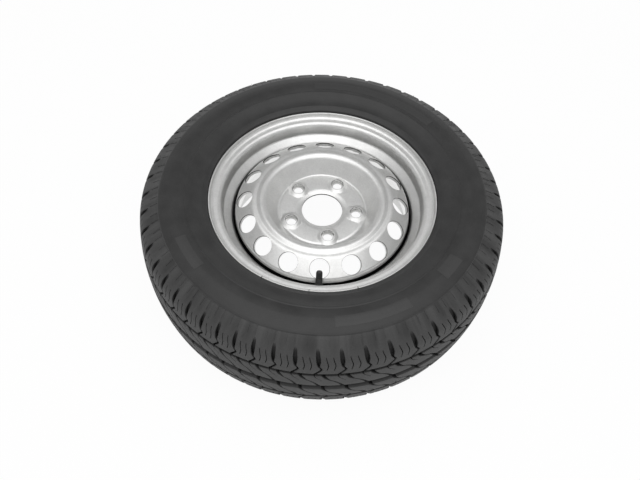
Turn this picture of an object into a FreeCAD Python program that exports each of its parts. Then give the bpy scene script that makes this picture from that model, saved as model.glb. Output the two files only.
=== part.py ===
"""Spare wheel of a light trailer: a 13 inch pressed-steel wheel with a tubeless radial tyre.

The wheel lies flat on its inboard sidewall. The origin is the wheel's centre, where its axis
crosses the rim's mid-plane; +Z is the outboard direction along the axis, and the valve stands
at -Y. Lengths are millimetres, angles degrees. Sections are drawn as (radius, height, rounding)
corners, and the valve's pieces along +Z from the rim's visible skin.
"""
import FreeCAD, Part
import math
import os

# Tyre
TYRE_RADIUS = 295.0
SECTION_WIDTH = 189.0
WIDEST_SHARE = 0.514
WIDEST_BAND = 26.0
TREAD_WIDTH = 140.0
CROWN_DROP = 8.0
SHOULDER_ROUND = 22.0
SIDEWALL_BEND = 0.96
RING_HEIGHT = 1.1
RING_FOOT = 0.34
RING_EDGE = 0.42
CUSHION_HEIGHT = 3.0
CROWN_WALL = 14.0
SIDE_WALL = 8.0
BEAD_WIDTH = 17.0
TREAD_DEPTH = 8.0
CENTRE_GROOVE = 13.0
SIDE_GROOVE = 6.0
GROOVE_SPACING = 38.0
GROOVE_DRAFT = 1.5
PITCH_COUNT = 56
PITCH_SWING = 2.4
PITCH_WAVES = 3
PITCH_PHASE = -89.0
SLOT_WIDTH = 5.0
SLOT_DEPTH = 6.0
SLOT_SLANT = 20.0
INBOARD_SHIFT = 0.71
RIB_SLOT_WIDTH = 3.0
RIB_SLOT_SLANT = -40.0
RIB_SHIFT = 0.01
INBOARD_RIB_SHIFT = 0.97

# Rim
BEAD_RADIUS = 164.7
RIM_WIDTH = 127.0
FLANGE_HEIGHT = 17.3
FLANGE_CURL = 9.5
LIP_LENGTH = 2.5
RIM_SHEET = 2.6
SEAT_ANGLE = 5.0
SEAT_LENGTH = 21.0
HEEL_ROUND = 5.0
WELL_DEPTH = 16.7
SLOPE_ANGLE = 55.0
WELL_LENGTH = 44.0
LEDGE_LENGTH = 30.0
BEAD_GAP = 0.3

# Disc
DISC_SHEET = 5.0
OFFSET = 30.0
BORE_RADIUS = 33.25
DIP_WIDTH = 9.0
DIP_DEPTH = 1.5
MOUNT_RADIUS = 73.5
MOUNT_ROUND = 7.0
CREST_RADIUS = 96.0
CREST_WIDTH = 8.0
CREST_HEIGHT = 63.0
CREST_ROUND = 9.0
VALLEY_WIDTH = 6.0
VALLEY_DEPTH = 3.0
VALLEY_ROUND = 6.0
VALLEY_FLOOR = 7.0
BAND_DROP = 17.5
BAND_ROUND = 12.0
BEND_DROP = 20.0
BEND_WIDTH = 4.75
DISC_FLANGE = 20.0
PRESS_GAP = 0.15
VENT_COUNT = 16
VENT_SHARE = 0.94
VENT_START = -90.0
STUD_COUNT = 5
STUD_CIRCLE = 112.0
STUD_RADIUS = 7.5
STUD_START = -79.0
SEAT_MOUTH = 10.3
SEAT_CONE = 60.0
COLLAR_RADIUS = 13.5
COLLAR_DRAFT = 1.8
COLLAR_HEIGHT = 3.0

# Welds between disc and rim
WELD_COUNT = 8
WELD_ARC = 22.0
WELD_LEG = 4.0

# Valve
VALVE_ANGLE = -90.0
VALVE_HOLE = 5.65
STEM_RADIUS = 3.9
STEM_BORE = 2.6
STEM_LENGTH = 25.0
FOOT_BORE = 1.3
RUBBER_LENGTH = 15.6
RUBBER_RADIUS = 5.7
RUBBER_DRAFT = 0.7
HEAD_RADIUS = 8.5
HEAD_LENGTH = 9.0
HEAD_DRAFT = 2.5
SKIRT_RADIUS = 8.0
SKIRT_LENGTH = 4.0
BOND_GAP = 0.05
CAP_WALL = 0.8
CAP_PLAY = 0.2
CAP_LENGTH = 12.0
CAP_ROOF = 2.0
CAP_CHAMFER = 1.0
SEAL_THICKNESS = 1.0
SEAL_GAP = 0.1
CORE_PLAY = 0.15
CORE_DEPTH = 1.0
BARREL_LENGTH = 8.0
BARREL_BORE = 1.3
BARREL_NECK = 1.9
NECK_LENGTH = 2.0
NECK_FOOT = 1.5
PIN_RADIUS = 0.7
PIN_SINK = 0.4
CUP_RADIUS = 2.0
CUP_LENGTH = 2.0
CUP_SEAL = 0.8
SPRING_WIRE = 0.4
SPRING_LENGTH = 7.0
SPRING_TURNS = 3

# Roundings are drawn in flats, and a flat leaves its arc by no more than this
FLAT_SAG = 1.0

FULL_TURN = 360.0
AXIS = FreeCAD.Vector(0, 0, 1)
CENTRE = FreeCAD.Vector(0, 0, 0)

rim_edge = RIM_WIDTH / 2
flange_radius = BEAD_RADIUS + FLANGE_HEIGHT
lip_height = rim_edge + FLANGE_CURL + LIP_LENGTH
seat_slope = math.tan(math.radians(SEAT_ANGLE))
seat_end = BEAD_RADIUS - SEAT_LENGTH * seat_slope
seat_end_height = rim_edge - SEAT_LENGTH
well_radius = BEAD_RADIUS - WELL_DEPTH
well_inside = well_radius - RIM_SHEET
slope_rise = (seat_end - well_radius) / math.tan(math.radians(SLOPE_ANGLE))
well_top = seat_end_height - slope_rise
half_tread = TREAD_WIDTH / 2
half_section = SECTION_WIDTH / 2
disc_front = OFFSET + DISC_SHEET
stud_top = disc_front + COLLAR_HEIGHT
valley_height = CREST_HEIGHT - VALLEY_DEPTH
flange_skin = well_inside - PRESS_GAP
crest_inside = CREST_RADIUS - CREST_WIDTH / 2
crest_outside = CREST_RADIUS + CREST_WIDTH / 2
valley_radius = crest_outside + VALLEY_WIDTH
band_start = valley_radius + VALLEY_FLOOR
band_end = flange_skin - BEND_WIDTH
band_angle = math.atan2(BAND_DROP, band_end - band_start)
flange_top = valley_height - BAND_DROP - BEND_DROP
disc_foot = flange_top - DISC_FLANGE
valve_foot = -RIM_SHEET - HEAD_LENGTH
barrel_top = STEM_LENGTH - CORE_DEPTH
barrel_foot = barrel_top - BARREL_LENGTH
barrel_radius = STEM_BORE - CORE_PLAY
cup_seal_top = barrel_foot - SEAL_GAP
cup_top = cup_seal_top - CUP_SEAL
cup_foot = cup_top - CUP_LENGTH
spring_foot = cup_foot - SPRING_LENGTH
cap_seal_foot = STEM_LENGTH + SEAL_GAP
cap_ceiling = cap_seal_foot + SEAL_THICKNESS
cap_bore = STEM_RADIUS + CAP_PLAY
cap_radius = cap_bore + CAP_WALL


def point(radius, height):
    """Point of a section, drawn in the half-plane where Y is zero."""
    return FreeCAD.Vector(radius, 0, height)


def turned_in(corner, towards):
    """Unit vector from one corner of a section towards another."""
    return point(towards[0] - corner[0], towards[1] - corner[1]).normalize()


def rounding_flats(corners, index):
    """Points of one corner: the corner itself, or the ends of the flats of its rounding."""
    radius, height, rounding = corners[index]
    here = point(radius, height)
    if not rounding:
        return [here]
    before = turned_in(corners[index], corners[index - 1])
    after = turned_in(corners[index], corners[(index + 1) % len(corners)])
    turn = math.pi - before.getAngle(after)
    middle = here + (before + after).normalize() * (rounding / math.cos(turn / 2))
    widest_flat = 2 * math.acos(max(1 - FLAT_SAG / rounding, 0))
    steps = max(1, math.ceil(turn / widest_flat))
    spoke = here + before * (rounding * math.tan(turn / 2)) - middle
    way = math.copysign(1, before.cross(after).y)
    points = []
    for step in range(steps + 1):
        sweep = FreeCAD.Rotation(FreeCAD.Vector(0, -way, 0), math.degrees(turn * step / steps))
        points.append(middle + sweep.multVec(spoke))
    return points


def revolved(corners, sweep=FULL_TURN):
    """Solid turned about the wheel's axis from the corners of its section."""
    points = []
    for index in range(len(corners)):
        points += rounding_flats(corners, index)
    outline = Part.makePolygon(points + points[:1])
    return Part.Face(outline).revolve(CENTRE, AXIS, sweep)


def turned(profile):
    """Solid turned about +Z from (radius, height) corners, for the valve's small pieces."""
    return revolved([(radius, height, 0) for radius, height in profile])


def offset_path(path, distance):
    """The same bent path moved sideways, to the left of its direction, with its bends in proportion."""
    moved = []
    last = len(path) - 1
    for index, (radius, height, rounding) in enumerate(path):
        first = turned_in(path[max(index - 1, 0)], path[max(index, 1)])
        second = turned_in(path[min(index, last - 1)], path[min(index + 1, last)])
        first_side = point(-first.z, first.x)
        second_side = point(-second.z, second.x)
        shift = (first_side + second_side) * (distance / (1 + first_side.dot(second_side)))
        bends_left = first.x * second.z > first.z * second.x
        bend = rounding - distance if bends_left else rounding + distance
        moved.append((radius + shift.x, height + shift.z, max(bend, 0) if rounding else 0))
    return moved


def bent_sheet(path, thickness):
    """Ring of bent sheet: one skin along the path, the other to the left of it."""
    return revolved(path + offset_path(path, thickness)[::-1])


def ringed(shape, count, start=0.0):
    """Copies of a shape, evenly round the wheel's axis."""
    copies = []
    for index in range(count):
        copy = shape.copy()
        copy.rotate(CENTRE, AXIS, start + FULL_TURN * index / count)
        copies.append(copy)
    return copies


def crown_radius(height):
    """Radius of the tread at a height, on the arc across its crown."""
    arc = (half_tread ** 2 + CROWN_DROP ** 2) / (2 * CROWN_DROP)
    return TYRE_RADIUS - arc + math.sqrt(arc ** 2 - height ** 2)


def groove_corners(height, width):
    """Section corners of one groove round the tread, from its outboard to its inboard edge."""
    half_mouth = width / 2
    half_floor = half_mouth - GROOVE_DRAFT
    floor = crown_radius(height) - TREAD_DEPTH
    return [
        (crown_radius(height + half_mouth), height + half_mouth, 0),
        (floor, height + half_floor, 0),
        (floor, height - half_floor, 0),
        (crown_radius(height - half_mouth), height - half_mouth, 0),
    ]


def raised_ring(start, end):
    """Corners of the ring moulded on one flat of the sidewall."""
    run = end - start
    lift = point(-run.z, run.x).normalize() * RING_HEIGHT
    return [
        start + run * RING_FOOT,
        start + run * RING_EDGE + lift,
        end - run * RING_EDGE + lift,
        end - run * RING_FOOT,
    ]


def tyre_side():
    """Outboard half of the tyre's section, from the inner crown round the bead to the tread's edge."""
    edge = crown_radius(half_tread)
    bead_wall = rim_edge - BEAD_GAP
    bead_base = BEAD_RADIUS + BEAD_GAP
    cushion = flange_radius + BEAD_GAP
    cushion_height = lip_height + CUSHION_HEIGHT
    widest = cushion + WIDEST_SHARE * (edge - cushion)
    lower_turn = math.atan2(half_section - cushion_height, widest - WIDEST_BAND / 2 - cushion)
    upper_turn = math.atan2(half_section - half_tread, edge - widest - WIDEST_BAND / 2)
    side_round = WIDEST_BAND * SIDEWALL_BEND / (math.tan(lower_turn / 2) + math.tan(upper_turn / 2))
    lower = (widest - WIDEST_BAND / 2, half_section, side_round)
    upper = (widest + WIDEST_BAND / 2, half_section, side_round)
    shoulder = (edge, half_tread, SHOULDER_ROUND)
    flats = rounding_flats([lower, upper, shoulder], 1)
    flats[-1:-1] = raised_ring(flats[-2], flats[-1])
    return [
        (TYRE_RADIUS - CROWN_WALL, half_tread - CROWN_WALL, 0),
        (widest, half_section - SIDE_WALL, 0),
        (bead_base - BEAD_WIDTH * seat_slope, bead_wall - BEAD_WIDTH, 0),
        (bead_base, bead_wall, HEEL_ROUND - BEAD_GAP),
        (cushion, bead_wall, FLANGE_CURL + BEAD_GAP),
        (cushion, cushion_height, 0),
        lower,
        *[(flat.x, flat.z, 0) for flat in flats],
        shoulder,
    ]


def pitch_angles():
    """Angles of the tread's pitches, which lengthen and shorten round the tyre to break up its hum."""
    angles = []
    for index in range(PITCH_COUNT):
        even = FULL_TURN * index / PITCH_COUNT
        angles.append(PITCH_PHASE + even - PITCH_SWING * math.cos(math.radians(PITCH_WAVES * even)))
    return angles


def slot_cutter(start, end, middle, slant, width):
    """Cutter for one straight slot across the tread, between two heights, slanted about a middle height."""
    slope = math.tan(math.radians(slant))
    floor = []
    for height in (start, end):
        for half_width in (-width / 2, width / 2):
            sideways = (height - middle) * slope + half_width
            floor.append(FreeCAD.Vector(crown_radius(height) - SLOT_DEPTH, sideways, height))
    outline = Part.makePolygon([floor[0], floor[1], floor[3], floor[2], floor[0]])
    return Part.Face(outline).extrude(FreeCAD.Vector(TREAD_DEPTH + CROWN_DROP, 0, 0))


def tread_slots():
    """Cutters for every slot of the tread: the outboard ones, and the inboard ones turned half round."""
    shoulder = slot_cutter(GROOVE_SPACING, half_tread + SLOT_DEPTH, GROOVE_SPACING, SLOT_SLANT, SLOT_WIDTH)
    rib = slot_cutter(0, GROOVE_SPACING, GROOVE_SPACING / 2, RIB_SLOT_SLANT, RIB_SLOT_WIDTH)
    pitch = FULL_TURN / PITCH_COUNT
    kinds = ((shoulder, 0, INBOARD_SHIFT), (rib, RIB_SHIFT, INBOARD_RIB_SHIFT))
    slots = []
    for slot, outboard_shift, inboard_shift in kinds:
        turned_over = slot.copy()
        turned_over.rotate(CENTRE, FreeCAD.Vector(1, 0, 0), FULL_TURN / 2)
        for cutter, shift in ((slot, outboard_shift), (turned_over, inboard_shift)):
            for angle in pitch_angles():
                copy = cutter.copy()
                copy.rotate(CENTRE, AXIS, angle + shift * pitch)
                slots.append(copy)
    return slots


def make_tyre():
    """The tyre: a moulded section turned round the axis, grooved along and slotted across the tread."""
    side = tyre_side()
    crown = groove_corners(GROOVE_SPACING, SIDE_GROOVE)
    crown += groove_corners(0, CENTRE_GROOVE)
    crown += groove_corners(-GROOVE_SPACING, SIDE_GROOVE)
    inboard = [(radius, -height, rounding) for radius, height, rounding in side[::-1]]
    return revolved(side + crown + inboard).cut(tread_slots())


def make_rim():
    """The rim: one sheet rolled into seats, curled flanges and a well, with a hole for the valve."""
    well_foot = well_top - WELL_LENGTH
    ledge_end = BEAD_RADIUS - LEDGE_LENGTH * seat_slope
    ledge_end_height = LEDGE_LENGTH - rim_edge
    path = [
        (flange_radius, -lip_height, 0),
        (flange_radius, -rim_edge, FLANGE_CURL),
        (BEAD_RADIUS, -rim_edge, HEEL_ROUND),
        (ledge_end, ledge_end_height, 0),
        (well_radius, well_foot, 0),
        (well_radius, well_top, 0),
        (seat_end, seat_end_height, 0),
        (BEAD_RADIUS, rim_edge, HEEL_ROUND),
        (flange_radius, rim_edge, FLANGE_CURL),
        (flange_radius, lip_height, 0),
    ]
    hole = Part.makeCylinder(VALVE_HOLE, RIM_SHEET + 2 * VALVE_HOLE, point(0, -RIM_SHEET - VALVE_HOLE))
    return bent_sheet(path, RIM_SHEET).cut(on_valve(hole))


def make_disc():
    """The disc: one pressed sheet from the hub bore over the crest to the flange that the rim grips."""
    path = [
        (BORE_RADIUS, disc_front, 0),
        (MOUNT_RADIUS, disc_front, MOUNT_ROUND),
        (crest_inside, CREST_HEIGHT, CREST_ROUND),
        (crest_outside, CREST_HEIGHT, VALLEY_ROUND),
        (valley_radius, valley_height, VALLEY_ROUND),
        (band_start, valley_height, BAND_ROUND),
        (band_end, valley_height - BAND_DROP, 0),
        (flange_skin, flange_top, 0),
        (flange_skin, disc_foot, 0),
    ]
    disc = bent_sheet(path, -DISC_SHEET)
    dip = turned([
        (BORE_RADIUS, disc_front - DIP_DEPTH),
        (BORE_RADIUS + DIP_WIDTH, disc_front),
        (BORE_RADIUS, disc_front),
    ])
    return disc.cut(dip).fuse(stud_collars()).cut(stud_holes() + vent_holes()).removeSplitter()


def stud_collars():
    """Raised collars pressed round the stud holes."""
    collar = Part.makeCone(
        COLLAR_RADIUS, COLLAR_RADIUS - COLLAR_DRAFT, COLLAR_HEIGHT, point(STUD_CIRCLE / 2, disc_front))
    return ringed(collar, STUD_COUNT, STUD_START)


def stud_holes():
    """Cutters for the stud holes, with the conical mouths that seat the bolts."""
    cone_slope = math.tan(math.radians(SEAT_CONE / 2))
    depth = (SEAT_MOUTH - STUD_RADIUS) / cone_slope
    drill = turned([
        (0, OFFSET - COLLAR_HEIGHT),
        (STUD_RADIUS, OFFSET - COLLAR_HEIGHT),
        (STUD_RADIUS, stud_top - depth),
        (SEAT_MOUTH, stud_top),
        (0, stud_top),
    ])
    drill.translate(point(STUD_CIRCLE / 2, 0))
    return ringed(drill, STUD_COUNT, STUD_START)


def vent_holes():
    """Cutters for the round vents, punched square to the sloping band."""
    reach = CREST_HEIGHT
    radius = VENT_SHARE * (band_end - band_start) / math.cos(band_angle) / 2
    punch = Part.makeCylinder(radius, reach, point(0, -reach / 2))
    punch.rotate(CENTRE, FreeCAD.Vector(0, 1, 0), math.degrees(band_angle))
    punch.translate(point((band_start + band_end) / 2, valley_height - BAND_DROP / 2))
    return ringed(punch, VENT_COUNT, VENT_START)


def make_disc_welds():
    """Weld runs between the disc's flange end and the rim's well."""
    corners = [
        (flange_skin, disc_foot, 0),
        (flange_skin - WELD_LEG, disc_foot, 0),
        (flange_skin, disc_foot - WELD_LEG, 0),
    ]
    run = revolved(corners, WELD_ARC)
    return Part.makeCompound(ringed(run, WELD_COUNT))


def on_valve(shape):
    """Move a piece from the valve's own axis, +Z from the rim's skin, to its place on the rim's slope."""
    tilt = math.radians(SLOPE_ANGLE)
    shape.rotate(CENTRE, FreeCAD.Vector(0, 1, 0), SLOPE_ANGLE - FULL_TURN / 4)
    shape.translate(point(
        (seat_end + well_radius) / 2 - RIM_SHEET * math.cos(tilt),
        (seat_end_height + well_top) / 2 + RIM_SHEET * math.sin(tilt)))
    shape.rotate(CENTRE, AXIS, VALVE_ANGLE)
    return shape


def make_valve_body():
    """Rubber of the snap-in valve: a head inside the rim, a neck in its hole and a tapering shank."""
    bore = STEM_RADIUS + BOND_GAP
    neck = VALVE_HOLE - PRESS_GAP
    return turned([
        (bore, valve_foot),
        (HEAD_RADIUS - HEAD_DRAFT, valve_foot),
        (HEAD_RADIUS, -RIM_SHEET - PRESS_GAP),
        (neck, -RIM_SHEET - PRESS_GAP),
        (neck, PRESS_GAP),
        (SKIRT_RADIUS, PRESS_GAP),
        (RUBBER_RADIUS, SKIRT_LENGTH),
        (RUBBER_RADIUS - RUBBER_DRAFT, RUBBER_LENGTH),
        (bore, RUBBER_LENGTH),
    ])


def make_valve_stem():
    """Brass stem: bored for the core, with a narrow foot that carries the core's spring."""
    return turned([
        (FOOT_BORE, valve_foot),
        (STEM_RADIUS, valve_foot),
        (STEM_RADIUS, STEM_LENGTH),
        (STEM_BORE, STEM_LENGTH),
        (STEM_BORE, spring_foot),
        (FOOT_BORE, spring_foot),
    ])


def make_core_barrel():
    """Brass barrel of the core, with a neck for its seal."""
    neck_foot = barrel_foot + NECK_FOOT
    return turned([
        (BARREL_BORE, barrel_foot),
        (barrel_radius, barrel_foot),
        (barrel_radius, neck_foot),
        (BARREL_NECK, neck_foot),
        (BARREL_NECK, neck_foot + NECK_LENGTH),
        (barrel_radius, neck_foot + NECK_LENGTH),
        (barrel_radius, barrel_top),
        (BARREL_BORE, barrel_top),
    ])


def ring(inner, outer, foot, top):
    """Plain ring about +Z."""
    return turned([(inner, foot), (outer, foot), (outer, top), (inner, top)])


def make_core_barrel_seal():
    """Seal ring in the barrel's neck."""
    seal_foot = barrel_foot + NECK_FOOT + BOND_GAP
    seal_top = barrel_foot + NECK_FOOT + NECK_LENGTH - BOND_GAP
    return ring(BARREL_NECK + BOND_GAP, STEM_BORE - BOND_GAP, seal_foot, seal_top)


def make_core_pin():
    """Pin that opens the core when it is pressed."""
    pin_foot = cup_foot + BOND_GAP
    pin_top = STEM_LENGTH - PIN_SINK
    return Part.makeCylinder(PIN_RADIUS, pin_top - pin_foot, point(0, pin_foot))


def make_core_cup():
    """Brass cup fixed to the foot of the pin."""
    return ring(PIN_RADIUS + BOND_GAP, CUP_RADIUS, cup_foot, cup_top)


def make_core_cup_seal():
    """Rubber washer on the cup, which closes the barrel's foot."""
    return ring(PIN_RADIUS + BOND_GAP, CUP_RADIUS, cup_top, cup_seal_top)


def make_core_spring():
    """Coil spring between the stem's foot and the cup, of square wire."""
    length = SPRING_LENGTH - SPRING_WIRE - 2 * SEAL_GAP
    coil_radius = CUP_RADIUS - SPRING_WIRE / 2
    helix = Part.makeHelix(length / SPRING_TURNS, length, coil_radius)
    half = SPRING_WIRE / 2
    corners = [point(coil_radius + side, rise) for side, rise in
               ((-half, -half), (half, -half), (half, half), (-half, half), (-half, -half))]
    wire = Part.Wire(helix.Edges).makePipeShell([Part.makePolygon(corners)], True, True)
    wire.translate(point(0, spring_foot + SEAL_GAP + half))
    return wire


def make_valve_cap():
    """Screw cap over the stem's end."""
    cap_top = cap_ceiling + CAP_ROOF
    cap_foot = cap_top - CAP_LENGTH
    return turned([
        (cap_bore, cap_foot),
        (cap_radius, cap_foot),
        (cap_radius, cap_top - CAP_CHAMFER),
        (cap_radius - CAP_CHAMFER, cap_top),
        (0, cap_top),
        (0, cap_ceiling),
        (cap_bore, cap_ceiling),
    ])


def make_cap_seal():
    """Rubber washer under the cap's roof."""
    return Part.makeCylinder(cap_bore - BOND_GAP, SEAL_THICKNESS, point(0, cap_seal_foot))


WHEEL_PIECES = {
    "tyre": make_tyre,
    "rim": make_rim,
    "disc": make_disc,
    "disc_welds": make_disc_welds,
}
VALVE_PIECES = {
    "valve_body": make_valve_body,
    "valve_stem": make_valve_stem,
    "core_barrel": make_core_barrel,
    "core_barrel_seal": make_core_barrel_seal,
    "core_pin": make_core_pin,
    "core_cup": make_core_cup,
    "core_cup_seal": make_core_cup_seal,
    "core_spring": make_core_spring,
    "valve_cap": make_valve_cap,
    "cap_seal": make_cap_seal,
}

os.makedirs("parts", exist_ok=True)
for node, make in WHEEL_PIECES.items():
    make().exportStep(f"parts/{node}.step")
for node, make in VALVE_PIECES.items():
    on_valve(make()).exportStep(f"parts/{node}.step")
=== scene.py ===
"""Looks of a trailer spare wheel: a pressed-steel wheel with a radial tyre and a snap-in valve.

Sizes are millimetres and angles degrees until a mesh is placed, in metres, in the CAD frame:
the origin is the wheel's centre, +Z its outboard side, and the valve stands at -Y.
"""
import logging
import math
import random
from dataclasses import dataclass, field
from enum import Enum
from typing import Any, Callable, Sequence

import bpy
import numpy as np
from mathutils import Matrix, Vector


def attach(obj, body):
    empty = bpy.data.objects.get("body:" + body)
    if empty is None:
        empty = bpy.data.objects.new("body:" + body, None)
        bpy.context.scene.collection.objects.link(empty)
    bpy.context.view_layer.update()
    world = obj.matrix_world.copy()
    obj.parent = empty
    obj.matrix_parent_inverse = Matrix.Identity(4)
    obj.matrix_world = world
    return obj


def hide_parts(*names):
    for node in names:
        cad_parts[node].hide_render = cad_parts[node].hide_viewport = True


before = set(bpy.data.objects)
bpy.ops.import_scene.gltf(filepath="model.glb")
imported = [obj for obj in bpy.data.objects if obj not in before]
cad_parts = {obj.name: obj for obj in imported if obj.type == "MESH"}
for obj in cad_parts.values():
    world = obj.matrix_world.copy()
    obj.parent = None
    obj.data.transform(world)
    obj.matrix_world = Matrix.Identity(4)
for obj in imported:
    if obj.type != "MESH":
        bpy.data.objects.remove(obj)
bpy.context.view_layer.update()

LOG = logging.getLogger("spare_wheel")
MM = 0.001
# Vertices merge within this distance, in the mesh's own unit
WELD = 1e-5
# Points of a path that are nearer than this, in millimetres, count as one
NEAR = 1e-3
# Places on the flat tread that are nearer than this, in millimetres, touch
TOUCH = 0.01
# An eased edge takes at most this share of a cut's depth
EASE_SHARE = 0.6
# Slack, in millimetres, where faces are picked by their place
SLACK = 0.1

Point = tuple[float, float]
Corner = tuple[float, float, float]
Place = tuple[float, float, float]
Row = tuple[float, float, float, float]
Socket = bpy.types.NodeSocket


class Side(Enum):
    """The two sides of the wheel, by the sign of their height."""

    OUTBOARD = 1
    INBOARD = -1


class Cut(Enum):
    """Ways in which one solid works on another."""

    AWAY = "DIFFERENCE"
    ON = "UNION"


def srgb(code: str) -> tuple[float, float, float, float]:
    """Turn an sRGB hex colour to linear values.

    Args:
        code: Six hex digits, such as "3c3c3d".

    Returns:
        Linear red, green and blue, and an alpha of one.
    """
    shares = [int(code[place:place + 2], 16) / 255 for place in (0, 2, 4)]
    linear = [share / 12.92 if share <= 0.04045 else ((share + 0.055) / 1.055) ** 2.4 for share in shares]
    return (linear[0], linear[1], linear[2], 1.0)


def add_node(tree: bpy.types.NodeTree, kind: str, inputs: dict[Any, Any] | None = None,
             **settings: Any) -> bpy.types.Node:
    """Add a node with its settings and links.

    Args:
        tree: The material's or world's node tree.
        kind: Blender's name of the node type.
        inputs: Values or sockets for the node's inputs, by name or number.
        **settings: Attributes of the node itself.

    Returns:
        The new node.
    """
    node = tree.nodes.new(kind)
    for name, value in settings.items():
        setattr(node, name, value)
    for key, value in (inputs or {}).items():
        if isinstance(value, bpy.types.NodeSocket):
            tree.links.new(value, node.inputs[key])
        else:
            node.inputs[key].default_value = value
    return node


def rounded(corners: Sequence[Corner], sweep: float = 7.5) -> list[Point]:
    """Turn corners with roundings into the points of a smooth path.

    Args:
        corners: Radius, height and rounding of each corner, from end to end.
        sweep: Widest turn between two points of a rounding.

    Returns:
        The path's points.
    """
    points: list[Point] = []
    for index, (radius, height, rounding) in enumerate(corners):
        if not rounding or index in (0, len(corners) - 1):
            points.append((radius, height))
            continue
        here = np.array((radius, height))
        back = np.array(corners[index - 1][:2]) - here
        ahead = np.array(corners[index + 1][:2]) - here
        back /= np.linalg.norm(back)
        ahead /= np.linalg.norm(ahead)
        turn = math.pi - math.acos(float(np.clip(back @ ahead, -1, 1)))
        middle = here + (back + ahead) / np.linalg.norm(back + ahead) * rounding / math.cos(turn / 2)
        spoke = here + back * rounding * math.tan(turn / 2) - middle
        way = -math.copysign(1, back[0] * ahead[1] - back[1] * ahead[0])
        steps = max(2, math.ceil(math.degrees(turn) / sweep))
        for step in range(steps + 1):
            angle = way * turn * step / steps
            points.append((
                float(middle[0] + spoke[0] * math.cos(angle) - spoke[1] * math.sin(angle)),
                float(middle[1] + spoke[0] * math.sin(angle) + spoke[1] * math.cos(angle))))
    apart = [math.dist(first, second) > NEAR for first, second in zip(points, points[1:])]
    return [point for point, keep in zip(points, [*apart, True]) if keep]


def left_normals(path: np.ndarray) -> tuple[np.ndarray, np.ndarray]:
    """Give the left-hand normal at each point of a path.

    Args:
        path: Points of an open path, one a row.

    Returns:
        The normals, and how much longer a corner's own normal is than its neighbours'.
    """
    runs = np.diff(path, axis=0)
    runs /= np.linalg.norm(runs, axis=1)[:, None]
    before = np.vstack([runs[:1], runs])
    after = np.vstack([runs, runs[-1:]])
    middle = before + after
    middle /= np.linalg.norm(middle, axis=1)[:, None]
    stretch = 1 / np.sum(middle * after, axis=1)
    return np.stack([-middle[:, 1], middle[:, 0]], axis=1), stretch


def sheet_section(path: Sequence[Point], thickness: float, edges: tuple[float, float]) -> list[Point]:
    """Outline of bent sheet with eased edges.

    Args:
        path: Points of one skin.
        thickness: Distance to the other skin, to the left of the path.
        edges: How far the sheet's cut edges are eased, at the path's start and end.

    Returns:
        Points of the closed outline.
    """
    skin = np.array(path)
    normals, stretch = left_normals(skin)
    far_skin = skin + normals * (thickness * stretch)[:, None]
    outline = list(map(tuple, skin)) + list(map(tuple, far_skin[::-1]))
    for end, edge in zip((0, -1), edges):
        ease = math.copysign(edge, thickness)
        inward = skin[1] - skin[0] if end == 0 else skin[-2] - skin[-1]
        inward = inward / np.linalg.norm(inward) * edge
        eased_skin = [tuple(skin[end] + inward), tuple(skin[end] + normals[end] * ease)]
        eased_far = [tuple(far_skin[end] - normals[end] * ease), tuple(far_skin[end] + inward)]
        if end == 0:
            outline = eased_skin[::-1] + outline[1:-1] + eased_far[::-1]
        else:
            middle = len(skin)
            outline = outline[:middle] + eased_skin + eased_far + outline[middle + 2:]
    return outline


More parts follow.
